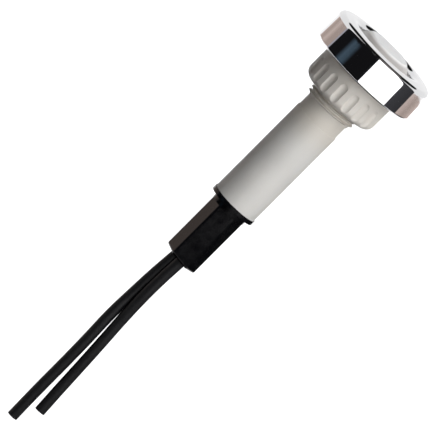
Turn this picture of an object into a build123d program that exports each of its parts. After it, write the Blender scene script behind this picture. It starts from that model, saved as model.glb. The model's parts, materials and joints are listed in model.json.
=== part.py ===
from build123d import *
import os
from math import atan2, cos, radians, sin, sqrt, tan

# Panel pilot light, in millimetres. +Z runs along the axis towards the lens, the origin is the
# centre of the seat that bears on the panel, and the wires leave towards -Z.

# ---- Driving dimensions ----------------------------------------------------------------------

# Head, above the panel
BEZEL_RADIUS = 10.6         # bezel, outside, at its back edge
BEZEL_DRAFT = 0.18          # how much slimmer the bezel is at its front corner
BEZEL_SHOULDER = 5.88       # height at which the side would meet the domed front
BEZEL_CORNER = 0.96         # rounding between the side and the domed front
BEZEL_WALL = 1.0            # side wall at the back edge
BEZEL_CREST = 6.18          # height at which the front begins to roll over into the opening
BEZEL_RISE = 6.0            # degrees by which the front still rises there
BEZEL_ROLL_SHARE = 0.423    # share of the front's width that rolls over
BEZEL_ROLL_FULLNESS = 0.6   # how long that curve keeps the direction of the front and of the wall
BEZEL_ROLL_END = 5.3        # height at which it meets the wall of the opening
BEZEL_BACK_ROUND = 0.35
BEZEL_LIP_RADIUS = 6.4      # opening round the lens
BEZEL_CEILING = 4.57        # height of the ledge that traps the lens
BEZEL_BACK = 0.05           # how far the bezel's back edge stands off the panel

LENS_TOP_RADIUS = 4.1       # flat top of the lens
LENS_TOP = 6.77             # height of that flat; its flank falls to the bezel's opening
LENS_FLANGE = 1.15          # flange that the bezel traps
LENS_WALL = 1.2             # wall of the lens over its cavity
LENS_RIB = 0.8              # depth of the rib that centres the lens in the body
LENS_RIB_INSET = 2.15       # middle of that rib, in from the edge of the flange
LENS_RIB_WIDTH = 1.0
LENS_EDGE_ROUND = 0.12

SEAT_WIDTH = 1.3            # raised rim under the head that bears on the panel
SEAT_RELIEF = 0.15          # how far the underside inside that rim is set back
BEAD_HEIGHT = 0.25          # snap bead round the head, under the bezel
BEAD_LEVEL = 1.7            # height of the bead's middle
BEAD_WIDTH = 0.9

# Thread and nut, below the panel
THREAD_RADIUS = 4.925       # crest of the M10 x 0.75 thread
THREAD_PITCH = 0.75
THREAD_DEPTH = 0.46
THREAD_END = 8.28           # depth below the seat where the thread ends
THREAD_TURN = 180.0         # degrees from +X to the end of the ridge
THREAD_FOOT = 0.88          # width of the ridge at its root, as a share of the pitch
THREAD_CREST = 0.16         # width of the ridge at its crest, as a share of the pitch
THREAD_BURIED = 0.09        # how far the ridge reaches below the root cylinder
NUT_RADIUS = 7.54
NUT_LENGTH = 6.25
NUT_COLLAR = 1.85           # plain stretch before the flutes
NUT_BACK_ROUND = 1.4
NUT_FRONT_CHAMFER = 0.3
FLUTES = 18
FLUTE_DEPTH = 0.34
FLUTE_RADIUS = 1.1
FLUTE_PHASE = 4.8           # degrees from +X to the first flute

# Barrel
RELIEF_RADIUS = 4.28        # plain stretch behind the thread
RELIEF_END = 11.0
BARREL_RADIUS = 4.44
BARREL_END = 31.0
BULB_PLAY = 0.25            # between the bulb and the front bore that holds it
BULB_BORE_END = 14.0
BORE_STEP = 0.35            # how much wider the rear bore is
BULB_STOP = 0.9             # radius of the lip that the dome meets, as a share of the bulb's
BULB_STOP_LEVEL = 2.0
REFLECTOR_WALL = 0.85       # between the white cone in front of the bulb and the groove for the rib

# End plug
PLUG_FLANGE_RADIUS = 4.61
PLUG_FLANGE = 0.8
PLUG_COLLAR_RADIUS = 3.52
PLUG_COLLAR = 1.0
PLUG_CORNER_RADIUS = 3.5    # six-sided body, across its corners, before they are rounded
PLUG_CORNER_ROUND = 0.5
PLUG_TURN = 3.7             # degrees from +X to the first corner
PLUG_LENGTH = 13.6          # from the flange's front to the middle of the rear face
PLUG_SLANT = 7.0            # degrees by which the rear face falls away towards +X
PLUG_END_ROUND = 0.4
PLUG_SPIGOT = 4.0           # length of the spigot in the barrel
PLUG_CAVITY_RADIUS = 2.4
PLUG_END_WALL = 2.6
PLUG_BEAD = 0.15            # retaining bead round the spigot
PLUG_BEAD_WIDTH = 0.8

# Wires
WIRE_DIAMETER = 2.0
WIRE_GAP = 0.07             # between the two wires where they leave the plug
WIRE_TILT = 132.1           # direction of the left wire from the right one, in degrees from +X
SLOT_CLEARANCE = 0.2
CONDUCTOR_DIAMETER = 0.84
ROOT_LEAN = 0.6             # share of the stretch in the plug that leans with the free wire
ROOT_BEND = 5               # its bend radius, in wire diameters
BEND_SHARE = 0.45           # how much of the shorter run each bend of a free wire may take

# Routes of the free wires from the plug's rear face: x and y are in wire diameters, and the third
# number is the distance behind that face.
WIRE_LEFT = [
    (-0.442, 0.384, 0.0),
    (-0.642, 0.337, 4.5),
    (-0.747, 0.305, 9.6),
    (-0.863, 0.105, 15.3),
    (-0.735, 0.026, 21.4),
    (-0.695, 0.053, 27.8),
    (-0.700, 0.100, 34.0),
    (-0.630, 0.130, 40.1),
]
WIRE_RIGHT = [
    (0.253, -0.384, 0.0),
    (0.105, -0.337, 4.5),
    (0.089, -0.289, 9.6),
    (0.179, -0.068, 14.9),
    (0.365, -0.021, 20.8),
    (0.500, 0.037, 26.2),
    (0.610, 0.053, 31.3),
    (0.750, 0.011, 36.1),
]

# Lamp
BULB_RADIUS = 3.0
BULB_LENGTH = 15.0          # dome to the shoulder of the pinch
PINCH_WIDTH = 3.7
PINCH_THICKNESS = 1.7
PINCH_LENGTH = 2.2
PINCH_ROUND = 0.45          # rounding of its edges, as a share of its thickness
BULB_SHOULDER_ROUND = 1.0
LEAD_DIAMETER = 0.5
LEAD_BEND = 1.0
LEAD_SEAT = 1.2             # length of each lead that the pinch holds
LEAD_STUB = 0.4             # straight stretch behind the pinch before a bend
LEAD_CRANK = 1.6            # length over which a lead moves sideways
RESISTOR_STUB = 1.8         # straight stretch behind the resistor before a bend
LEAD_SLEEVE_RADIUS = 0.5
LEAD_SLEEVE_BORE = 0.3

# Resistor, set to the left of the axis so that the long lead can pass it
RESISTOR_OFFSET = 1.75
RESISTOR_RADIUS = 1.15
RESISTOR_LENGTH = 6.3
RESISTOR_SETBACK = 1.0      # behind the front ferrule
RESISTOR_END_ROUND = 0.35
RESISTOR_CAP = 1.3          # swollen stretch over each end cap
RESISTOR_WAIST = 0.12       # how far the middle is set back from it
RESISTOR_SLEEVE_RADIUS = 1.45
RESISTOR_SLEEVE_BORE = 1.22
RESISTOR_SLEEVE_REACH = 0.6

# Ferrules
FERRULE_RADIUS = 0.78
FERRULE_BORE = 0.46
FERRULE_LENGTH = 5.0
FERRULE_SETBACK = 1.38      # behind the end of the barrel
LEAD_FERRULE_RADIUS = 0.7
LEAD_FERRULE_BORE = 0.3
LEAD_FERRULE_LENGTH = 2.2
LEAD_FERRULE_SETBACK = 2.44 # behind the pinch
SHRINK_RADIUS = 0.96
SHRINK_BORE = 0.8
SHRINK_REACH = 0.5
SLEEVE_GAP = 0.3            # free stretch of lead at each end of its sleeve

# Clearances
FIT = 0.05                  # between two pieces that are pushed together
THREAD_PLAY = 0.05
STOP_PLAY = 0.02            # between a stop and the piece that rests against it
BUTT_GAP = 0.1              # between two conductor ends that meet in a ferrule
OVERCUT = 1.0               # how far a cutter runs past the face that it opens

# ---- Sizes that follow -------------------------------------------------------------------------

bezel_bore = BEZEL_RADIUS - BEZEL_WALL
head_radius = bezel_bore - FIT
lens_radius = bezel_bore - FIT
lens_flange_top = BEZEL_CEILING - FIT
lens_flange_back = lens_flange_top - LENS_FLANGE
rib_radius = lens_radius - LENS_RIB_INSET
head_top = lens_flange_back - FIT
seat_inner = head_radius - SEAT_WIDTH
thread_root = THREAD_RADIUS - THREAD_DEPTH
nut_front = -STOP_PLAY
nut_back = nut_front - NUT_LENGTH
bulb_bore = BULB_RADIUS + BULB_PLAY
bulb_stop = BULB_RADIUS * BULB_STOP
bore = bulb_bore + BORE_STEP
reflector_radius = rib_radius - LENS_RIB_WIDTH / 2 - FIT - REFLECTOR_WALL
plug_front = -BARREL_END - STOP_PLAY
plug_back = plug_front - PLUG_LENGTH + STOP_PLAY
spigot_radius = bore - FIT
spigot_front = plug_front + PLUG_SPIGOT
cavity_back = plug_back + PLUG_END_WALL
wire_radius = WIRE_DIAMETER / 2
wire_pitch = WIRE_DIAMETER + WIRE_GAP
pair_axis = Vector(cos(radians(WIRE_TILT)), sin(radians(WIRE_TILT)), 0)
lead_offset = wire_pitch / 2

# Heights along the lamp's own chain, from the dome back to the wires
bulb_centre = BULB_STOP_LEVEL - sqrt(BULB_RADIUS**2 - bulb_stop**2) - FIT
bulb_back = bulb_centre + BULB_RADIUS - BULB_LENGTH
pinch_back = bulb_back - PINCH_LENGTH
lead_seat = pinch_back + LEAD_SEAT
lead_ferrule_front = pinch_back - LEAD_FERRULE_SETBACK
lead_ferrule_back = lead_ferrule_front - LEAD_FERRULE_LENGTH
lead_ferrule_middle = (lead_ferrule_front + lead_ferrule_back) / 2
resistor_front = lead_ferrule_back - RESISTOR_SETBACK
resistor_back = resistor_front - RESISTOR_LENGTH
ferrule_front = plug_front - FERRULE_SETBACK
ferrule_back = ferrule_front - FERRULE_LENGTH
ferrule_middle = (ferrule_front + ferrule_back) / 2
root_front = ferrule_back - SHRINK_REACH - FIT


def revolved(face):
    """A solid of revolution about Z from a face drawn in the XZ plane."""
    return revolve(face, Axis.Z)


def profile(*points):
    """A closed outline in the XZ plane, through (radius, height) points."""
    return Plane.XZ * make_face(Polyline(*points, close=True))


def tube(outer, inner, front, back):
    """A round tube about Z between two heights."""
    return revolved(profile((inner, back), (outer, back), (outer, front), (inner, front)))


def rod(radius, front, back):
    """A round rod about Z between two heights."""
    return revolved(profile((0, back), (radius, back), (radius, front), (0, front)))


def beside(shape, offset):
    """The shape moved off the axis along the line of the wire pair."""
    return Pos(*(pair_axis * offset)) * shape


# ---- Head --------------------------------------------------------------------------------------

def bezel_ring():
    """Drafted cup with a domed front, an opening for the lens and a groove for the snap bead."""
    corner = (BEZEL_RADIUS - BEZEL_DRAFT, BEZEL_SHOULDER)
    width = BEZEL_ROLL_SHARE * (corner[0] - BEZEL_LIP_RADIUS)
    crest = (BEZEL_LIP_RADIUS + width, BEZEL_CREST)
    rise = radians(BEZEL_RISE)
    front = TangentArc(crest, corner, tangent=(cos(rise), -sin(rise)))
    reach = BEZEL_ROLL_FULLNESS * width
    above = (crest[0] - reach, BEZEL_CREST + reach * tan(rise))
    drop = BEZEL_ROLL_FULLNESS * (above[1] - BEZEL_ROLL_END)
    roll_end = (BEZEL_LIP_RADIUS, BEZEL_ROLL_END)
    roll = Bezier(crest, above, (BEZEL_LIP_RADIUS, BEZEL_ROLL_END + drop), roll_end)
    rest = Polyline(
        corner,
        (BEZEL_RADIUS, BEZEL_BACK),
        (bezel_bore, BEZEL_BACK),
        (bezel_bore, BEZEL_CEILING),
        (BEZEL_LIP_RADIUS, BEZEL_CEILING),
        roll_end,
    )
    face = make_face([front, roll, *rest.edges()])
    face = fillet(face.vertices().sort_by_distance(corner)[0], BEZEL_CORNER)
    ring = revolved(Plane.XZ * face)
    back_edges = ring.edges().filter_by(GeomType.CIRCLE).group_by(Axis.Z)[0]
    ring = fillet(back_edges.sort_by(SortBy.RADIUS)[-1], BEZEL_BACK_ROUND)
    return ring - bead(head_radius, BEAD_HEIGHT, BEAD_LEVEL, BEAD_WIDTH, FIT)


def bead(radius, height, level, width, margin):
    """Ring with sloped sides on a round wall; margin swells it into the groove that takes it."""
    half = width / 2 + margin
    rise = height + margin
    return revolved(
        profile(
            (radius - height, level - half),
            (radius, level - half),
            (radius + rise, level - half + rise),
            (radius + rise, level + half - rise),
            (radius, level + half),
            (radius - height, level + half),
        )
    )


def lens():
    """Flat-topped cone on a flange, hollow behind, with a centring rib."""
    flank_radius = BEZEL_LIP_RADIUS - FIT
    slope = atan2(LENS_TOP - lens_flange_top, flank_radius - LENS_TOP_RADIUS)
    cavity_top = LENS_TOP - LENS_WALL
    cavity_radius = LENS_TOP_RADIUS - LENS_WALL * tan(slope / 2)
    cavity_mouth = cavity_radius + (cavity_top - lens_flange_back) / tan(slope)
    outline = profile(
        (0, LENS_TOP),
        (LENS_TOP_RADIUS, LENS_TOP),
        (flank_radius, lens_flange_top),
        (lens_radius, lens_flange_top),
        (lens_radius, lens_flange_back),
        (cavity_mouth, lens_flange_back),
        (cavity_radius, cavity_top),
        (0, cavity_top),
    )
    body = revolved(outline)
    rib = tube(
        rib_radius + LENS_RIB_WIDTH / 2,
        rib_radius - LENS_RIB_WIDTH / 2,
        lens_flange_back + LENS_FLANGE / 2,
        lens_flange_back - LENS_RIB,
    )
    body = body + rib
    top_edge = body.edges().filter_by(GeomType.CIRCLE).group_by(Axis.Z)[-1]
    return fillet(top_edge, LENS_EDGE_ROUND)


# ---- Thread ------------------------------------------------------------------------------------

def thread_ridge(play):
    """Helical ridge of the thread; play swells it into the groove that the nut has for it."""
    foot = THREAD_PITCH * THREAD_FOOT / 2 + play
    crest = THREAD_PITCH * THREAD_CREST / 2 + play
    base = thread_root - THREAD_BURIED
    depth = THREAD_RADIUS + play - base
    bottom = -THREAD_END + THREAD_PITCH / 2
    path = Helix(pitch=THREAD_PITCH, height=-THREAD_PITCH - bottom, radius=base)
    section = make_face(Polyline((0, -foot), (depth, -crest), (depth, crest), (0, foot), close=True))
    start = Plane(origin=path @ 0, x_dir=(1, 0, 0), z_dir=path % 0)
    ridge = sweep(start * section, path=path, is_frenet=True)
    return Pos(0, 0, bottom) * Rot(0, 0, THREAD_TURN) * ridge


# ---- Body and nut --------------------------------------------------------------------------------

def barrel_body():
    """Head flange, thread, relief and barrel, moulded in one piece round the lamp's bore."""
    outer = profile(
        (0, head_top),
        (head_radius, head_top),
        (head_radius, 0),
        (seat_inner, 0),
        (seat_inner, SEAT_RELIEF),
        (thread_root, SEAT_RELIEF),
        (thread_root, -THREAD_END),
        (RELIEF_RADIUS, -THREAD_END),
        (RELIEF_RADIUS, -RELIEF_END),
        (BARREL_RADIUS, -RELIEF_END),
        (BARREL_RADIUS, -BARREL_END),
        (0, -BARREL_END),
    )
    inner = profile(
        (0, head_top + OVERCUT),
        (reflector_radius, head_top + OVERCUT),
        (reflector_radius, head_top),
        (bulb_stop, BULB_STOP_LEVEL),
        (bulb_bore, BULB_STOP_LEVEL - (bulb_bore - bulb_stop)),
        (bulb_bore, -BULB_BORE_END),
        (bore, -BULB_BORE_END - BORE_STEP),
        (bore, -BARREL_END - OVERCUT),
        (0, -BARREL_END - OVERCUT),
    )
    rib_groove = tube(
        rib_radius + LENS_RIB_WIDTH / 2 + FIT,
        rib_radius - LENS_RIB_WIDTH / 2 - FIT,
        head_top + OVERCUT,
        lens_flange_back - LENS_RIB - FIT,
    )
    body = revolved(outer) + bead(head_radius, BEAD_HEIGHT, BEAD_LEVEL, BEAD_WIDTH, 0)
    body = body + thread_ridge(0)
    return body - revolved(inner) - rib_groove - spigot_bead(FIT)


def nut_flute():
    """Cutter for one flute: a round channel with a ball end, open at the nut's back."""
    axis_radius = NUT_RADIUS + FLUTE_RADIUS - FLUTE_DEPTH
    half_chord = sqrt(FLUTE_RADIUS**2 - (FLUTE_RADIUS - FLUTE_DEPTH) ** 2)
    closed_end = nut_front - NUT_COLLAR - half_chord
    channel = rod(FLUTE_RADIUS, closed_end, nut_back - OVERCUT)
    return Pos(axis_radius, 0, 0) * (channel + Pos(0, 0, closed_end) * Sphere(FLUTE_RADIUS))


def panel_nut():
    """Ring nut: threaded bore, plain collar, flutes to the rounded back edge."""
    blank = tube(NUT_RADIUS, thread_root + THREAD_PLAY, nut_front, nut_back)
    rims = blank.edges().filter_by(GeomType.CIRCLE).sort_by(SortBy.RADIUS)[-2:]
    blank = fillet(rims.sort_by(Axis.Z)[0], NUT_BACK_ROUND)
    rims = blank.edges().filter_by(GeomType.CIRCLE).group_by(Axis.Z)[-1]
    blank = chamfer(rims.sort_by(SortBy.RADIUS)[-1], NUT_FRONT_CHAMFER)
    flute = nut_flute()
    step = 360 / FLUTES
    for number in range(FLUTES):
        blank = blank - Rot(0, 0, FLUTE_PHASE + number * step) * flute
    return blank - thread_ridge(THREAD_PLAY)


# ---- End plug ------------------------------------------------------------------------------------

def spigot_bead(margin):
    """Retaining bead half way along the spigot, or the groove for it in the barrel."""
    level = plug_front + PLUG_SPIGOT / 2
    return bead(spigot_radius, PLUG_BEAD, level, PLUG_BEAD_WIDTH, margin)


def end_plug():
    """Flange and spigot that close the barrel, and a six-sided body with the wire slot."""
    flange_back = plug_front - PLUG_FLANGE
    turned = revolved(
        profile(
            (0, spigot_front),
            (spigot_radius, spigot_front),
            (spigot_radius, plug_front),
            (PLUG_FLANGE_RADIUS, plug_front),
            (PLUG_FLANGE_RADIUS, flange_back),
            (PLUG_COLLAR_RADIUS, flange_back),
            (PLUG_COLLAR_RADIUS, flange_back - PLUG_COLLAR),
            (0, flange_back - PLUG_COLLAR),
        )
    )
    hexagon = Rot(0, 0, PLUG_TURN) * RegularPolygon(PLUG_CORNER_RADIUS, 6)
    hexagon = fillet(hexagon.vertices(), PLUG_CORNER_ROUND)
    grip = Pos(0, 0, plug_back - OVERCUT) * extrude(hexagon, PLUG_LENGTH - PLUG_FLANGE + OVERCUT)
    rear = Pos(0, 0, plug_back) * Rot(0, PLUG_SLANT, 0)
    grip = split(grip, bisect_by=Plane(rear), keep=Keep.TOP)
    grip = fillet(grip.faces().sort_by(Axis.Z)[0].edges(), PLUG_END_ROUND)
    plug = turned + grip + spigot_bead(0)
    cavity = rod(PLUG_CAVITY_RADIUS, spigot_front + OVERCUT, cavity_back)
    slot = SlotCenterToCenter(wire_pitch, WIRE_DIAMETER + 2 * SLOT_CLEARANCE)
    wire_slot = extrude(Rot(0, 0, WIRE_TILT) * slot, PLUG_END_WALL + 2 * OVERCUT)
    wire_slot = Pos(0, 0, plug_back - OVERCUT) * wire_slot
    return plug - cavity - wire_slot


# ---- Lamp, resistor and joints -------------------------------------------------------------------

def neon_bulb():
    """Sealed glass bulb with a domed front and a flat pinch."""
    glass = rod(BULB_RADIUS, bulb_centre, bulb_back)
    glass = glass + Pos(0, 0, bulb_centre) * Sphere(BULB_RADIUS)
    shoulder = glass.edges().filter_by(GeomType.CIRCLE).group_by(Axis.Z)[0]
    glass = fillet(shoulder, BULB_SHOULDER_ROUND)
    outline = RectangleRounded(PINCH_WIDTH, PINCH_THICKNESS, PINCH_THICKNESS * PINCH_ROUND)
    pinch = extrude(Rot(0, 0, WIRE_TILT) * outline, PINCH_LENGTH + BULB_SHOULDER_ROUND)
    glass = glass + Pos(0, 0, pinch_back) * pinch
    lead_hole = rod(LEAD_DIAMETER / 2, lead_seat, pinch_back - OVERCUT)
    return glass - beside(lead_hole, lead_offset) - beside(lead_hole, -lead_offset)


def lead(*points):
    """A stiff round lead through points given as (distance along the pair, height)."""
    places = [pair_axis * offset + Vector(0, 0, height) for offset, height in points]
    if len(places) == 2:
        path = Line(*places)
    else:
        path = FilletPolyline(*places, radius=LEAD_BEND)
    section = Plane(origin=path @ 0, z_dir=path % 0) * Circle(LEAD_DIAMETER / 2)
    return sweep(section, path=path)


def lamp_lead_short():
    """From the pinch out to the line of the resistor."""
    bend = pinch_back - LEAD_STUB
    return lead(
        (lead_offset, lead_seat),
        (lead_offset, bend),
        (RESISTOR_OFFSET, bend - LEAD_CRANK),
        (RESISTOR_OFFSET, lead_ferrule_middle + BUTT_GAP / 2),
    )


def lamp_lead_long():
    """Straight past the resistor into the right-hand ferrule."""
    return lead((-lead_offset, lead_seat), (-lead_offset, ferrule_middle + BUTT_GAP / 2))


def lead_ferrule():
    """Joins the short lead to the resistor's front lead."""
    ends = lead_ferrule_front, lead_ferrule_back
    return beside(tube(LEAD_FERRULE_RADIUS, LEAD_FERRULE_BORE, *ends), RESISTOR_OFFSET)


def resistor_body():
    """Barrel of the resistor, with swollen ends over its caps."""
    waist_radius = RESISTOR_RADIUS - RESISTOR_WAIST
    waist_step = RESISTOR_CAP + 2 * RESISTOR_WAIST
    shape = revolved(
        profile(
            (0, resistor_front),
            (RESISTOR_RADIUS, resistor_front),
            (RESISTOR_RADIUS, resistor_front - RESISTOR_CAP),
            (waist_radius, resistor_front - waist_step),
            (waist_radius, resistor_back + waist_step),
            (RESISTOR_RADIUS, resistor_back + RESISTOR_CAP),
            (RESISTOR_RADIUS, resistor_back),
            (0, resistor_back),
        )
    )
    circles = shape.edges().filter_by(GeomType.CIRCLE)
    shape = fillet(circles.group_by(Axis.Z)[0] + circles.group_by(Axis.Z)[-1], RESISTOR_END_ROUND)
    return beside(shape, RESISTOR_OFFSET)


def resistor_lead_front():
    """From the resistor's front cap into the lead ferrule."""
    start = lead_ferrule_middle - BUTT_GAP / 2
    return lead((RESISTOR_OFFSET, start), (RESISTOR_OFFSET, resistor_front))


def resistor_lead_rear():
    """From the resistor's rear cap, cranked back to the line of the left-hand ferrule."""
    bend = resistor_back - RESISTOR_STUB
    return lead(
        (RESISTOR_OFFSET, resistor_back),
        (RESISTOR_OFFSET, bend),
        (lead_offset, bend - LEAD_CRANK),
        (lead_offset, ferrule_middle + BUTT_GAP / 2),
    )


def resistor_sleeve():
    """Insulating sleeve over the resistor."""
    front = resistor_front + RESISTOR_SLEEVE_REACH
    back = resistor_back - RESISTOR_SLEEVE_REACH
    sleeve = tube(RESISTOR_SLEEVE_RADIUS, RESISTOR_SLEEVE_BORE, front, back)
    return beside(sleeve, RESISTOR_OFFSET)


def lead_sleeve():
    """Insulating sleeve on the long lead, from behind the pinch to the right-hand ferrule."""
    front = pinch_back - SLEEVE_GAP
    back = ferrule_front + SHRINK_REACH + SLEEVE_GAP
    return beside(tube(LEAD_SLEEVE_RADIUS, LEAD_SLEEVE_BORE, front, back), -lead_offset)


def wire_ferrule(side):
    """Crimped ferrule that takes a lead from the front and a conductor from the back."""
    ferrule = tube(FERRULE_RADIUS, FERRULE_BORE, ferrule_front, ferrule_back)
    return beside(ferrule, side * lead_offset)


def ferrule_sleeve(side):
    """Shrink sleeve over a ferrule."""
    ends = ferrule_front + SHRINK_REACH, ferrule_back - SHRINK_REACH
    return beside(tube(SHRINK_RADIUS, SHRINK_BORE, *ends), side * lead_offset)


def conductor(side):
    """Stripped end of a wire's conductor, from the insulation into the ferrule."""
    strands = rod(CONDUCTOR_DIAMETER / 2, ferrule_middle - BUTT_GAP / 2, root_front)
    return beside(strands, side * lead_offset)


def placed(route):
    """A wire's route as places in the frame."""
    return [
        Vector(x * WIRE_DIAMETER, y * WIRE_DIAMETER, plug_back - behind) for x, y, behind in route
    ]


def bend_radii(name, places):
    """One radius for each corner of a route: the share of the shorter run over tan(half the turn)."""
    radii = []
    for before, corner, after in zip(places, places[1:], places[2:]):
        turn = (corner - before).get_angle(after - corner)
        shorter = min((corner - before).length, (after - corner).length)
        radii.append(BEND_SHARE * shorter / tan(radians(turn / 2)))
    print(name, "bend radii", [round(radius, 1) for radius in radii])
    return radii


def wire_root(side, route):
    """Insulated stretch of a wire inside the plug, running straight into the free wire."""
    start = pair_axis * (side * lead_offset) + Vector(0, 0, root_front)
    end, after = placed(route)[:2]
    length = (start - end).length
    lean = end - (after - end).normalized() * (ROOT_LEAN * length)
    straight = start + Vector(0, 0, (ROOT_LEAN - 1) * length / 2)
    places = [start, straight, lean, end]
    room = min(bend_radii("wire_root", places))
    path = FilletPolyline(*places, radius=min(ROOT_BEND * WIRE_DIAMETER, room))
    section = Plane(origin=start, z_dir=(0, 0, -1)) * Circle(wire_radius)
    return sweep(section, path=path)


# ---- Free wires ----------------------------------------------------------------------------------

def free_wire(name, route):
    """A free wire as one tube of straight runs joined by tangent arcs."""
    places = placed(route)
    path = FilletPolyline(*places, radius=bend_radii(name, places))
    section = Plane(origin=path @ 0, z_dir=path % 0) * Circle(wire_radius)
    tube_solid = sweep(section, path=path)
    print(name, "length", round(path.length, 2), "volume", round(tube_solid.volume, 2))
    return tube_solid


# ---- Write every piece ---------------------------------------------------------------------------

LEFT, RIGHT = 1, -1
pieces = {
    "bezel_ring": bezel_ring(),
    "lens": lens(),
    "barrel_body": barrel_body(),
    "panel_nut": panel_nut(),
    "end_plug": end_plug(),
    "neon_bulb": neon_bulb(),
    "lamp_lead_short": lamp_lead_short(),
    "lamp_lead_long": lamp_lead_long(),
    "lead_sleeve": lead_sleeve(),
    "lead_ferrule": lead_ferrule(),
    "resistor_body": resistor_body(),
    "resistor_lead_front": resistor_lead_front(),
    "resistor_lead_rear": resistor_lead_rear(),
    "resistor_sleeve": resistor_sleeve(),
    "wire_left": free_wire("wire_left", WIRE_LEFT),
    "wire_right": free_wire("wire_right", WIRE_RIGHT),
}
for name, side, route in (("left", LEFT, WIRE_LEFT), ("right", RIGHT, WIRE_RIGHT)):
    pieces["wire_ferrule_" + name] = wire_ferrule(side)
    pieces["ferrule_sleeve_" + name] = ferrule_sleeve(side)
    pieces["conductor_" + name] = conductor(side)
    pieces["wire_root_" + name] = wire_root(side, route)

os.makedirs("parts", exist_ok=True)
for name, shape in pieces.items():
    export_step(shape, f"parts/{name}.step")
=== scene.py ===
"""Studio scene for the panel pilot light: finishes for every piece, free wires, floor and light.

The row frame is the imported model's: +Z runs along the lamp's axis towards the lens, the origin is
the centre of the panel seat, and everything is in metres.
"""

import json
from math import cos, pi, radians, sin, tan

import bpy
from mathutils import Matrix, Vector

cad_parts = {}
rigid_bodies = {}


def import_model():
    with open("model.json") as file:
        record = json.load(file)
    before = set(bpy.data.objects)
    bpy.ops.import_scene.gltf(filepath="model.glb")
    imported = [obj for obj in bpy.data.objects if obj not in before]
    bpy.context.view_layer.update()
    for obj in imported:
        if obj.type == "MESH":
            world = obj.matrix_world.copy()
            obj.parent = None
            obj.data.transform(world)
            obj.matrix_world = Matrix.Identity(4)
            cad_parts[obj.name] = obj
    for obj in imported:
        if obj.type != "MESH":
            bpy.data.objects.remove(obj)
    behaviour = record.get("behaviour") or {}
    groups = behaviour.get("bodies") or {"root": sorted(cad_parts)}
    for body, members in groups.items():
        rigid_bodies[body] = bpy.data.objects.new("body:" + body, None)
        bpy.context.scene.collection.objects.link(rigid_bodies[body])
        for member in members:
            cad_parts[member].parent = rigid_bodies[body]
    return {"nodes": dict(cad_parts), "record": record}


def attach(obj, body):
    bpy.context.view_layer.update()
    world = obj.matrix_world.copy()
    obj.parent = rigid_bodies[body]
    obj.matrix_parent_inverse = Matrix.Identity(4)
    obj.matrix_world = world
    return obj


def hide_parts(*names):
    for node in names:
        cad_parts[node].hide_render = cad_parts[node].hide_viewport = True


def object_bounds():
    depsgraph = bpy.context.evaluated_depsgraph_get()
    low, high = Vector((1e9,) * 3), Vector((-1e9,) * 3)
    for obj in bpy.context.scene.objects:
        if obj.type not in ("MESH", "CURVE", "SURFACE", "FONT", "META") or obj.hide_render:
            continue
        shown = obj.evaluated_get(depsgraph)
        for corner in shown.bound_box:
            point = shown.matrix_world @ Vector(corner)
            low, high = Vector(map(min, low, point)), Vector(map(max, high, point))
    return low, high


for leftover in list(bpy.data.objects):
    bpy.data.objects.remove(leftover)

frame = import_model()
cad_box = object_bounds()

MM = 0.001

# ---- Camera ------------------------------------------------------------------------------------

VIEW_ELEVATION = radians(9.4)    # the camera looks slightly down on the lens
AXIS_SLANT = radians(45.04)      # slant of the lamp's axis in the picture, towards the upper right
PICTURE_WIDTH = 75.73 * MM       # what the picture's width covers at the lamp
AIM = Vector((0.03, 0, -34.46)) * MM
LENS = 1200.0                    # a very long lens, because the view is almost parallel
SENSOR = 36.0


def add_camera():
    towards = Vector((0, -cos(VIEW_ELEVATION), sin(VIEW_ELEVATION)))
    along = Vector((0, sin(VIEW_ELEVATION), cos(VIEW_ELEVATION)))
    across = Vector((1, 0, 0))
    right = along * cos(AXIS_SLANT) + across * sin(AXIS_SLANT)
    up = along * sin(AXIS_SLANT) - across * cos(AXIS_SLANT)
    distance = PICTURE_WIDTH * LENS / SENSOR
    data = bpy.data.cameras.new("camera")
    data.lens = LENS
    data.sensor_width = SENSOR
    data.clip_end = 50
    camera = bpy.data.objects.new("camera", data)
    turn = Matrix((right, up, towards)).transposed().to_4x4()
    camera.matrix_world = Matrix.Translation(AIM + towards * distance) @ turn
    bpy.context.scene.collection.objects.link(camera)
    bpy.context.scene.camera = camera


# ---- Materials ---------------------------------------------------------------------------------

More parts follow.
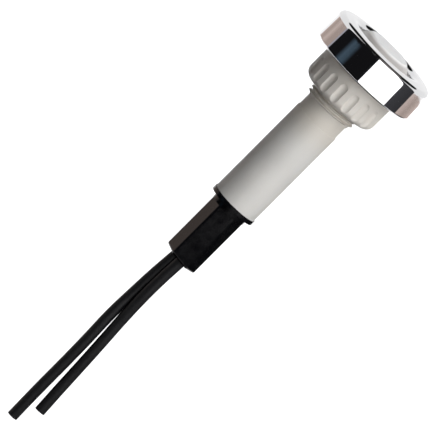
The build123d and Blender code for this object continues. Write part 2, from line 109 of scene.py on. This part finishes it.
class Finish:
    """A node material with a Principled shader, and short ways to add texture to it."""

    def __init__(self, name, color, roughness, **sockets):
        self.material = bpy.data.materials.new(name)
        self.material.use_nodes = True
        self.tree = self.material.node_tree
        self.shader = self.tree.nodes["Principled BSDF"]
        self.shader.inputs["Base Color"].default_value = (*color, 1)
        self.shader.inputs["Roughness"].default_value = roughness
        for socket, value in sockets.items():
            self.shader.inputs[socket.replace("_", " ")].default_value = value
        self.place = self.tree.nodes.new("ShaderNodeTexCoord").outputs["Object"]

    def node(self, kind, **values):
        made = self.tree.nodes.new("ShaderNode" + kind)
        for key, value in values.items():
            setattr(made, key, value)
        return made

    def link(self, start, end):
        self.tree.links.new(start, end)

    def noise(self, scale, detail=3.0, stretch=(1, 1, 1)):
        """Noise in the row frame; scale is in features per metre."""
        mapping = self.node("Mapping")
        mapping.inputs["Scale"].default_value = stretch
        texture = self.node("TexNoise")
        texture.inputs["Scale"].default_value = scale
        texture.inputs["Detail"].default_value = detail
        self.link(self.place, mapping.inputs["Vector"])
        self.link(mapping.outputs["Vector"], texture.inputs["Vector"])
        return texture.outputs["Fac"]

    def spread(self, factor, low, high):
        """Maps a noise factor onto a range of values."""
        ranged = self.node("MapRange")
        ranged.inputs["From Min"].default_value = 0.3
        ranged.inputs["From Max"].default_value = 0.7
        ranged.inputs["To Min"].default_value = low
        ranged.inputs["To Max"].default_value = high
        self.link(factor, ranged.inputs["Value"])
        return ranged.outputs["Result"]

    def mottle(self, factor, first, second):
        """Base colour that wanders between two colours."""
        mix = self.node("Mix", data_type="RGBA")
        mix.inputs["A"].default_value = (*first, 1)
        mix.inputs["B"].default_value = (*second, 1)
        self.link(self.spread(factor, 0, 1), mix.inputs["Factor"])
        self.link(mix.outputs["Result"], self.shader.inputs["Base Color"])

    def upward(self, low, high, top):
        """Base colour that changes to another one between two heights of the row frame; it paints light
        and shade that depend on height.
        """
        base = self.shader.inputs["Base Color"]
        height = self.node("SeparateXYZ")
        self.link(self.place, height.inputs["Vector"])
        ranged = self.node("MapRange", interpolation_type="SMOOTHSTEP")
        ranged.inputs["From Min"].default_value = low
        ranged.inputs["From Max"].default_value = high
        self.link(height.outputs["Z"], ranged.inputs["Value"])
        mix = self.node("Mix", data_type="RGBA")
        mix.inputs["A"].default_value = base.default_value
        if base.is_linked:
            self.link(base.links[0].from_socket, mix.inputs["A"])
        mix.inputs["B"].default_value = (*top, 1)
        self.link(ranged.outputs["Result"], mix.inputs["Factor"])
        self.link(mix.outputs["Result"], base)

    def rough(self, factor, low, high):
        self.link(self.spread(factor, low, high), self.shader.inputs["Roughness"])

    def bump(self, factor, depth, strength=1.0):
        """Relief of that depth, in metres."""
        relief = self.node("Bump")
        relief.inputs["Distance"].default_value = depth
        relief.inputs["Strength"].default_value = strength
        self.link(factor, relief.inputs["Height"])
        self.link(relief.outputs["Normal"], self.shader.inputs["Normal"])


LENS_PAINTED_TOP_LIGHT = (6.2 * MM, 6.75 * MM)      # heights where the painted shade on the lens's flank turns to a painted highlight on its flat top
NYLON_PAINTED_SHADE = (-17 * MM, -10 * MM)      # heights where the barrel's colour turns to a darker, warmer painted shade towards the nut


def chrome():
    finish = Finish("chrome", (0.72, 0.72, 0.73), 0.035, Metallic=1.0)
    finish.rough(finish.noise(900, 4), 0.02, 0.06)
    finish.bump(finish.noise(160, 2, (1, 1, 0.25)), 0.03 * MM)
    return finish.material


def frosted_lens():
    # The dim base colour is painted shade on the flank, and the near-white top colour is a painted
    # highlight on the flat top, for light that falls more on the top.
    finish = Finish(
        "frosted_lens", (0.54, 0.515, 0.50), 0.3,
        IOR=1.5, Subsurface_Weight=0.8, Subsurface_Scale=3.0 * MM,
    )
    finish.shader.inputs["Subsurface Radius"].default_value = (1.0, 0.95, 0.9)
    finish.upward(*LENS_PAINTED_TOP_LIGHT, (0.975, 0.97, 0.96))
    finish.rough(finish.noise(2500, 4), 0.28, 0.36)
    finish.bump(finish.noise(5000, 3), 0.002 * MM)
    return finish.material


def nylon(name, first, second, top=None):
    finish = Finish(name, first, 0.45, IOR=1.53, Subsurface_Weight=0.15, Subsurface_Scale=0.5 * MM)
    finish.shader.inputs["Subsurface Radius"].default_value = (1.0, 0.9, 0.8)
    finish.mottle(finish.noise(180, 4), first, second)
    # top is a darker, warmer colour painted near the nut as painted shade
    if top:
        finish.upward(*NYLON_PAINTED_SHADE, top)
    finish.rough(finish.noise(700, 4), 0.38, 0.52)
    finish.bump(finish.noise(3000, 5), 0.012 * MM)
    return finish.material


def black_plastic():
    finish = Finish("black_plastic", (0.002, 0.002, 0.003), 0.24, IOR=1.46)
    finish.mottle(finish.noise(900, 3), (0.001, 0.001, 0.002), (0.003, 0.003, 0.004))
    finish.rough(finish.noise(900, 4), 0.16, 0.23)
    finish.bump(finish.noise(2200, 4), 0.002 * MM)
    return finish.material


def wire_pvc():
    finish = Finish("wire_pvc", (0.004, 0.004, 0.005), 0.5, Specular_IOR_Level=0.3)
    finish.rough(finish.noise(1200, 4, (1, 1, 0.2)), 0.42, 0.56)
    finish.bump(finish.noise(1500, 3, (1, 1, 0.15)), 0.02 * MM)
    return finish.material


def metal(name, color, low, high):
    finish = Finish(name, color, low, Metallic=1.0)
    finish.rough(finish.noise(3000, 4), low, high)
    finish.bump(finish.noise(6000, 3), 0.004 * MM)
    return finish.material


def lamp_glass():
    finish = Finish("lamp_glass", (0.80, 0.88, 0.80), 0.2, IOR=1.5, Subsurface_Weight=0.2)
    finish.shader.inputs["Subsurface Scale"].default_value = 0.5 * MM
    finish.shader.inputs["Coat Weight"].default_value = 1.0
    finish.mottle(finish.noise(1500, 4), (0.76, 0.86, 0.76), (0.86, 0.92, 0.85))
    return finish.material


def dull_plastic(name, first, second, roughness):
    finish = Finish(name, first, roughness)
    finish.mottle(finish.noise(1500, 4), first, second)
    finish.bump(finish.noise(4000, 3), 0.008 * MM)
    return finish.material


FINISHES = {
    "chrome_plate": chrome(),
    "lens_plastic": frosted_lens(),
    # its top colour is the painted shade near the nut, darker and warmer than the barrel
    "body_nylon": nylon(
        "body_nylon_finish", (0.73, 0.715, 0.69), (0.78, 0.765, 0.735), top=(0.69, 0.65, 0.59)
    ),
    "nut_nylon": nylon("nut_nylon_finish", (0.715, 0.68, 0.63), (0.76, 0.72, 0.67)),
    "black_plastic": black_plastic(),
    "wire_pvc": wire_pvc(),
    "lamp_glass": lamp_glass(),
    "lead_wire": metal("lead_metal", (0.72, 0.71, 0.69), 0.2, 0.35),
    "ferrule_metal": metal("ferrule_metal_finish", (0.80, 0.78, 0.72), 0.25, 0.4),
    "copper_strand": metal("copper", (0.86, 0.45, 0.28), 0.2, 0.35),
    "resistor_lacquer": dull_plastic("lacquer", (0.66, 0.55, 0.38), (0.74, 0.64, 0.47), 0.35),
    "sleeve_plastic": dull_plastic("sleeving", (0.80, 0.77, 0.70), (0.86, 0.83, 0.77), 0.4),
    "shrink_plastic": dull_plastic("shrink", (0.018, 0.018, 0.018), (0.03, 0.03, 0.03), 0.5),
}


def finish_nodes():
    """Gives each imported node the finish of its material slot."""
    slots = {row["node"]: row["material_slot"] for row in frame["record"]["subparts"]}
    for name, node in frame["nodes"].items():
        for place in node.material_slots:
            place.material = FINISHES[slots[name]]


# ---- Free wires --------------------------------------------------------------------------------

WIRE_DIAMETER = 2.0 * MM
PLUG_BACK = -44.6 * MM      # rear face of the plug, where the free wires begin
STRAND_RADIUS = 0.1 * MM
STRAND_RINGS = 2            # rings of strands round the middle one
STRAND_SIDES = 12
STRAND_ENDS = (-0.6 * MM, 0.03 * MM)    # how far a strand's piece reaches, from the wire's end face

# Routes from that face: x and y are in wire diameters, then the distance behind it in millimetres.
ROUTES = {
    "left": [
        (-0.442, 0.384, 0.0),
        (-0.642, 0.337, 4.5),
        (-0.747, 0.305, 9.6),
        (-0.863, 0.105, 15.3),
        (-0.735, 0.026, 21.4),
        (-0.695, 0.053, 27.8),
        (-0.700, 0.100, 34.0),
        (-0.630, 0.130, 40.1),
    ],
    "right": [
        (0.253, -0.384, 0.0),
        (0.105, -0.337, 4.5),
        (0.089, -0.289, 9.6),
        (0.179, -0.068, 14.9),
        (0.365, -0.021, 20.8),
        (0.500, 0.037, 26.2),
        (0.610, 0.053, 31.3),
        (0.750, 0.011, 36.1),
    ],
}


def spline_length(curve_object):
    """Length of a curve's own line, bevel left out."""
    bevel = curve_object.data.bevel_depth
    curve_object.data.bevel_depth = 0
    line = bpy.data.meshes.new_from_object(curve_object)
    curve_object.data.bevel_depth = bevel
    points = [vertex.co.copy() for vertex in line.vertices]
    bpy.data.meshes.remove(line)
    return sum((b - a).length for a, b in zip(points, points[1:]))


def strand_ends(name, last, before):
    """Cut ends of the copper strands, showing in the middle of the wire's end face."""
    along = (last - before).normalized()
    turn = along.to_track_quat("Z", "Y").to_matrix().to_4x4()
    pitch = 2.02 * STRAND_RADIUS
    rings, sides = STRAND_RINGS, STRAND_SIDES
    vertices, faces = [], []
    for row in range(-rings, rings + 1):
        for column in range(-rings, rings + 1):
            if abs(row + column) > rings:
                continue
            centre = Vector((pitch * (column + row / 2), pitch * row * 0.866, 0))
            first = len(vertices)
            for height in STRAND_ENDS:
                for side in range(sides):
                    angle = radians(360 / sides * side)
                    spot = Vector((cos(angle), sin(angle), 0)) * STRAND_RADIUS
                    vertices.append(turn @ (centre + spot + Vector((0, 0, height))) + last)
            for side in range(sides):
                after = (side + 1) % sides
                faces.append((first + side, first + after, first + sides + after, first + sides + side))
            faces.append(tuple(first + side for side in reversed(range(sides))))
            faces.append(tuple(first + sides + side for side in range(sides)))
    bundle = bpy.data.meshes.new(name)
    bundle.from_pydata(vertices, [], faces)
    bundle.materials.append(FINISHES["copper_strand"])
    piece = bpy.data.objects.new(name, bundle)
    bpy.context.scene.collection.objects.link(piece)
    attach(piece, "root")
    return piece


def add_wire(side):
    """One free wire as a smooth spline through its route, with its strands at the cut end."""
    route = [
        Vector((x * WIRE_DIAMETER, y * WIRE_DIAMETER, PLUG_BACK - behind * MM))
        for x, y, behind in ROUTES[side]
    ]
    data = bpy.data.curves.new("wire_" + side + "_line", "CURVE")
    data.dimensions = "3D"
    spline = data.splines.new("NURBS")
    spline.points.add(len(route) - 1)
    for point, place in zip(spline.points, route):
        point.co = (*place, 1)
        point.radius = WIRE_DIAMETER / 2
    spline.order_u = 3
    spline.use_endpoint_u = True
    spline.resolution_u = 16
    data.bevel_depth = 1.0
    data.bevel_resolution = 12
    data.use_fill_caps = True
    data.materials.append(FINISHES["wire_pvc"])
    wire = bpy.data.objects.new("free_wire_" + side, data)
    bpy.context.scene.collection.objects.link(wire)
    ends = strand_ends("strand_ends_" + side, route[-1], route[-2])
    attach(wire, "root")
    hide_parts("wire_" + side)
    round(spline_length(wire), 4)


# ---- Stage and light ---------------------------------------------------------------------------

FLOOR_LEVEL = cad_box[0].z - 75 * MM
FLOOR_GLOW = 0.95           # how bright the floor looks where it is seen directly
AMBIENT = 0.03              # what the white world adds to the light on matt surfaces

# The walls stand round the lamp. Each is a list of azimuths with the linear colour that it shows
# there: azimuth 0 is towards the camera and 90 is along +X. Between them the back is open to the
# white backdrop. Heights are in the row frame, and a slope is metres of height for each degree.
WALL_RADIUS = 0.30
WALL_FOOT = FLOOR_LEVEL + 1 * MM
WALL_TOP = 0.60

BLUSH = (0.66, 0.54, 0.49)
BLUSH_DARK = (0.46, 0.37, 0.33)
HAZE = (0.42, 0.41, 0.46)
FLAG = (0.008, 0.008, 0.009)
SLATE = (0.060, 0.060, 0.066)
SLATE_DARK = (0.04, 0.04, 0.044)
BLUE = (0.065, 0.10, 0.135)
BLUE_DARK = (0.055, 0.085, 0.115)

LEFT_CARD = [
    (-140, BLUSH),
    (-128, BLUSH_DARK),
    (-116, BLUSH),
    (-104, BLUSH_DARK),
    (-92, BLUSH_DARK),
]
LEFT_CARD_TOP = -0.0313
LEFT_CARD_SLOPE = 0.00016
LEFT_GAP = [(-92, HAZE), (-88, HAZE)]
LEFT_GAP_TOP = -0.0236

LEFT_FLAG = [(-88, FLAG), (1, FLAG)]
LEFT_FLAG_TOP = 0.08
LEFT_FLAG_SLOPE = 0.02
STREAK = [(-64, FLAG), (-54, BLUE), (-46, BLUE_DARK), (-38, FLAG)]
STREAK_TOP = -0.0218
STREAK_RADIUS = 0.297       # just in front of the left flag

SOFTBOX_AZIMUTH = 35.2
SOFTBOX_SPREAD = 33.2       # degrees to either side
SOFTBOX_FOOT = -0.042
SOFTBOX_TOP = 0.50
SOFTBOX_RADIANCE = 2.6
LOW_FLAG = [(1, FLAG), (67.5, FLAG)]    # below the softbox
ARM = [(59, SLATE), (67.5, SLATE)]      # a thin arm in front of the softbox, at its right
ARM_FOOT = -0.0177
ARM_TOP = -0.0155
ARM_RADIUS = 0.24

RIGHT_FLAG = [(67.5, SLATE), (103, SLATE_DARK)]
RIGHT_FLAG_TOP = 0.79
RIGHT_FLAG_SLOPE = -0.02
RIGHT_CARD = [(103, BLUSH), (125, BLUSH_DARK), (165, BLUSH)]
RIGHT_CARD_FOOT = -0.051
RIGHT_CARD_TOP = -0.0264
RIGHT_CARD_SLOPE = -0.000213
RIGHT_LOW_FLAG = [(103, FLAG), (150, FLAG)]     # below the right card

# Over the lamp: azimuths, with the elevation at which the lamp sees the panel's edge there
CEILING_LEVEL = 0.30
CEILING_EDGE = [
    (-75, 62), (-40, 62), (0, 62), (40, 62), (75, 60), (103, 50), (115, 42), (125, 38), (140, 37),
    (152, 36), (165, 32), (175, 27), (185, 27), (195, 33), (210, 38), (225, 39),
    (240, 40), (250, 44), (262, 50), (270, 55),
]
CEILING_CARD_EDGE = [
    (0, 70), (45, 66), (70, 56), (85, 57), (110, 62), (135, 60), (165, 62), (180, 80),
]
CEILING_GREY = (0.24, 0.22, 0.21)
CARD_DROP = 0.01            # how far below the ceiling its grey card hangs
TOP_LIGHT_DROP = 0.03
TOP_LIGHT_WIDTH = 0.2
TOP_LIGHT_RADIANCE = 2.0

# A dark panel below the lamp, because the chrome's rear edge would show the bright floor
UNDER_LEVEL = -0.15
UNDER_EDGE = [(azimuth, -42) for azimuth in range(0, 360, 10)]

BACK_RADIUS = 1.5
BACK_AZIMUTHS = (105, 200)
BACK_ELEVATIONS = (5, 60)


def emitter(name, color=(1, 1, 1), strength=1.0, attribute=None):
    material = bpy.data.materials.new(name)
    material.use_nodes = True
    tree = material.node_tree
    tree.nodes.clear()
    glow = tree.nodes.new("ShaderNodeEmission")
    glow.inputs["Color"].default_value = (*color, 1)
    glow.inputs["Strength"].default_value = strength
    if attribute:
        source = tree.nodes.new("ShaderNodeAttribute")
        source.attribute_name = attribute
        tree.links.new(source.outputs["Color"], glow.inputs["Color"])
    out = tree.nodes.new("ShaderNodeOutputMaterial")
    tree.links.new(glow.outputs["Emission"], out.inputs["Surface"])
    return material


def polar(azimuth, radius, height):
    """A place round the lamp: azimuth 0 is towards the camera, and 90 degrees is along +X."""
    angle = radians(azimuth)
    return Vector((radius * sin(angle), -radius * cos(angle), height))


def panel(name, vertices, faces, material, lights=True):
    """A stage piece that the camera doesn't see; lights says whether matt surfaces see it."""
    mesh = bpy.data.meshes.new(name)
    mesh.from_pydata(vertices, [], faces)
    mesh.materials.append(material)
    made = bpy.data.objects.new(name, mesh)
    bpy.context.scene.collection.objects.link(made)
    made.visible_camera = False
    made.visible_diffuse = lights
    return made


def wall(name, stops, foot, top, material, radius=WALL_RADIUS, slope=0.0, lights=True):
    """An upright wall curved round the lamp, its colours blending from stop to stop.

    The top is its height at the first stop, and changes with the slope, up to WALL_TOP.
    """
    stops = densely(stops)
    vertices = []
    for azimuth, _ in stops:
        height = min(WALL_TOP, top + slope * (azimuth - stops[0][0]))
        vertices += [polar(azimuth, radius, foot), polar(azimuth, radius, height)]
    faces = [(2 * i, 2 * i + 1, 2 * i + 3, 2 * i + 2) for i in range(len(stops) - 1)]
    made = panel(name, vertices, faces, material, lights)
    tint = made.data.color_attributes.new("tint", "FLOAT_COLOR", "POINT")
    for number, (_, color) in enumerate(stops):
        for corner in (2 * number, 2 * number + 1):
            tint.data[corner].color = (*color, 1)
    return made


def overhead(name, edge, level, material):
    """A flat panel at that level, whose edge is seen from the lamp at those elevations."""
    corners = [polar(azimuth, level / tan(radians(elevation)), level) for azimuth, elevation in edge]
    return panel(name, corners, [tuple(range(len(corners)))], material)


def sweep(name, ends, elevations, material):
    """A curved backdrop far behind the lamp, between two azimuths and two elevations."""
    azimuths = range(ends[0], ends[1] + 1, 5)
    vertices = []
    for azimuth in azimuths:
        for elevation in elevations:
            vertices.append(polar(azimuth, BACK_RADIUS, BACK_RADIUS * tan(radians(elevation))))
    faces = [(2 * i, 2 * i + 1, 2 * i + 3, 2 * i + 2) for i in range(len(azimuths) - 1)]
    return panel(name, vertices, faces, material)


def densely(stops):
    """The same stops with more between them, so that the wall is round."""
    fine = []
    for (low, first), (high, second) in zip(stops, stops[1:]):
        steps = int((high - low) // 4) + 1
        for step in range(steps):
            share = step / steps
            color = tuple(a + (b - a) * share for a, b in zip(first, second))
            fine.append((low + (high - low) * share, color))
    return [*fine, stops[-1]]


def seen_directly(tree, strength):
    """A strength that counts for camera, glossy and transmission rays, and is 0 for the rest."""
    path = tree.nodes.new("ShaderNodeLightPath")
    total = path.outputs["Is Camera Ray"]
    for ray in ("Is Glossy Ray", "Is Transmission Ray"):
        either = tree.nodes.new("ShaderNodeMath")
        either.operation = "MAXIMUM"
        tree.links.new(total, either.inputs[0])
        tree.links.new(path.outputs[ray], either.inputs[1])
        total = either.outputs[0]
    scaled = tree.nodes.new("ShaderNodeMath")
    scaled.operation = "MULTIPLY"
    tree.links.new(total, scaled.inputs[0])
    scaled.inputs[1].default_value = strength
    return scaled.outputs[0]


def add_floor():
    half = 3.0
    mesh = bpy.data.meshes.new("floor")
    corners = [(-half, -half), (half, -half), (half, half), (-half, half)]
    mesh.from_pydata([(x, y, FLOOR_LEVEL) for x, y in corners], [], [(0, 1, 2, 3)])
    material = bpy.data.materials.new("floor_white")
    material.use_nodes = True
    tree = material.node_tree
    shader = tree.nodes["Principled BSDF"]
    shader.inputs["Base Color"].default_value = (0.88, 0.88, 0.88, 1)
    shader.inputs["Roughness"].default_value = 0.9
    shader.inputs["Emission Color"].default_value = (1, 1, 1, 1)
    tree.links.new(seen_directly(tree, FLOOR_GLOW), shader.inputs["Emission Strength"])
    mesh.materials.append(material)
    floor = bpy.data.objects.new("floor", mesh)
    bpy.context.scene.collection.objects.link(floor)


def add_world():
    world = bpy.data.worlds.new("studio")
    bpy.context.scene.world = world
    world.use_nodes = True
    tree = world.node_tree
    background = tree.nodes["Background"]
    background.inputs["Color"].default_value = (1, 1, 1, 1)
    total = tree.nodes.new("ShaderNodeMath")
    total.operation = "ADD"
    tree.links.new(seen_directly(tree, 1.0 - AMBIENT), total.inputs[0])
    total.inputs[1].default_value = AMBIENT
    tree.links.new(total.outputs[0], background.inputs["Strength"])


def area_lamp(name, radiance, area, place):
    """A lamp of that radiance and area at a place, unseen by the camera."""
    data = bpy.data.lights.new(name, "AREA")
    data.energy = radiance * pi * area
    lamp = bpy.data.objects.new(name, data)
    lamp.matrix_world = place
    lamp.visible_camera = False
    bpy.context.scene.collection.objects.link(lamp)
    return lamp


def add_softbox():
    """The main light: an upright box to the right of the camera, from just below the lamp."""
    distance = WALL_RADIUS * cos(radians(SOFTBOX_SPREAD))
    width = 2 * WALL_RADIUS * sin(radians(SOFTBOX_SPREAD))
    height = SOFTBOX_TOP - SOFTBOX_FOOT
    middle = polar(SOFTBOX_AZIMUTH, distance, (SOFTBOX_TOP + SOFTBOX_FOOT) / 2)
    facing = polar(SOFTBOX_AZIMUTH, 1, 0).to_track_quat("Z", "Y").to_matrix().to_4x4()
    place = Matrix.Translation(middle) @ facing
    softbox = area_lamp("softbox", SOFTBOX_RADIANCE, width * height, place)
    softbox.data.shape = "RECTANGLE"
    softbox.data.size = width
    softbox.data.size_y = height


def add_top_light():
    """A weak lamp overhead for the surfaces that face up; metal doesn't show it."""
    place = Matrix.Translation((0, 0, CEILING_LEVEL - TOP_LIGHT_DROP))
    lamp = area_lamp("top_light", TOP_LIGHT_RADIANCE, pi * TOP_LIGHT_WIDTH ** 2 / 4, place)
    lamp.data.shape = "DISK"
    lamp.data.size = TOP_LIGHT_WIDTH
    lamp.visible_glossy = False


def add_walls():
    tint = emitter("wall_tint", attribute="tint")
    wall(
        "left_card", LEFT_CARD, WALL_FOOT, LEFT_CARD_TOP, tint,
        slope=LEFT_CARD_SLOPE, lights=False,
    )
    wall("left_gap", LEFT_GAP, WALL_FOOT, LEFT_GAP_TOP, tint, lights=False)
    wall("left_flag", LEFT_FLAG, WALL_FOOT, LEFT_FLAG_TOP, tint, slope=LEFT_FLAG_SLOPE)
    wall("streak", STREAK, WALL_FOOT, STREAK_TOP, tint, radius=STREAK_RADIUS, lights=False)
    wall("low_flag", LOW_FLAG, WALL_FOOT, SOFTBOX_FOOT, tint)
    wall("arm", ARM, ARM_FOOT, ARM_TOP, tint, radius=ARM_RADIUS, lights=False)
    wall("right_flag", RIGHT_FLAG, WALL_FOOT, RIGHT_FLAG_TOP, tint, slope=RIGHT_FLAG_SLOPE)
    wall(
        "right_card", RIGHT_CARD, RIGHT_CARD_FOOT, RIGHT_CARD_TOP, tint,
        slope=RIGHT_CARD_SLOPE, lights=False,
    )
    wall("right_low_flag", RIGHT_LOW_FLAG, WALL_FOOT, RIGHT_CARD_FOOT, tint)


def add_panels():
    under = overhead("under_flag", UNDER_EDGE, UNDER_LEVEL, emitter("under_dark", strength=0.01))
    under.visible_shadow = False
    overhead("ceiling_flag", CEILING_EDGE, CEILING_LEVEL, emitter("ceiling_dark", strength=0.012))
    grey = emitter("ceiling_grey", CEILING_GREY)
    overhead("ceiling_card", CEILING_CARD_EDGE, CEILING_LEVEL - CARD_DROP, grey)
    sweep("back_card", BACK_AZIMUTHS, BACK_ELEVATIONS, emitter("back_white"))


def write_sizes():
    bpy.context.view_layer.update()


bpy.context.scene.view_settings.view_transform = "Standard"
add_camera()
finish_nodes()
add_wire("left")
add_wire("right")
add_floor()
add_world()
add_walls()
add_panels()
add_top_light()
add_softbox()
write_sizes()
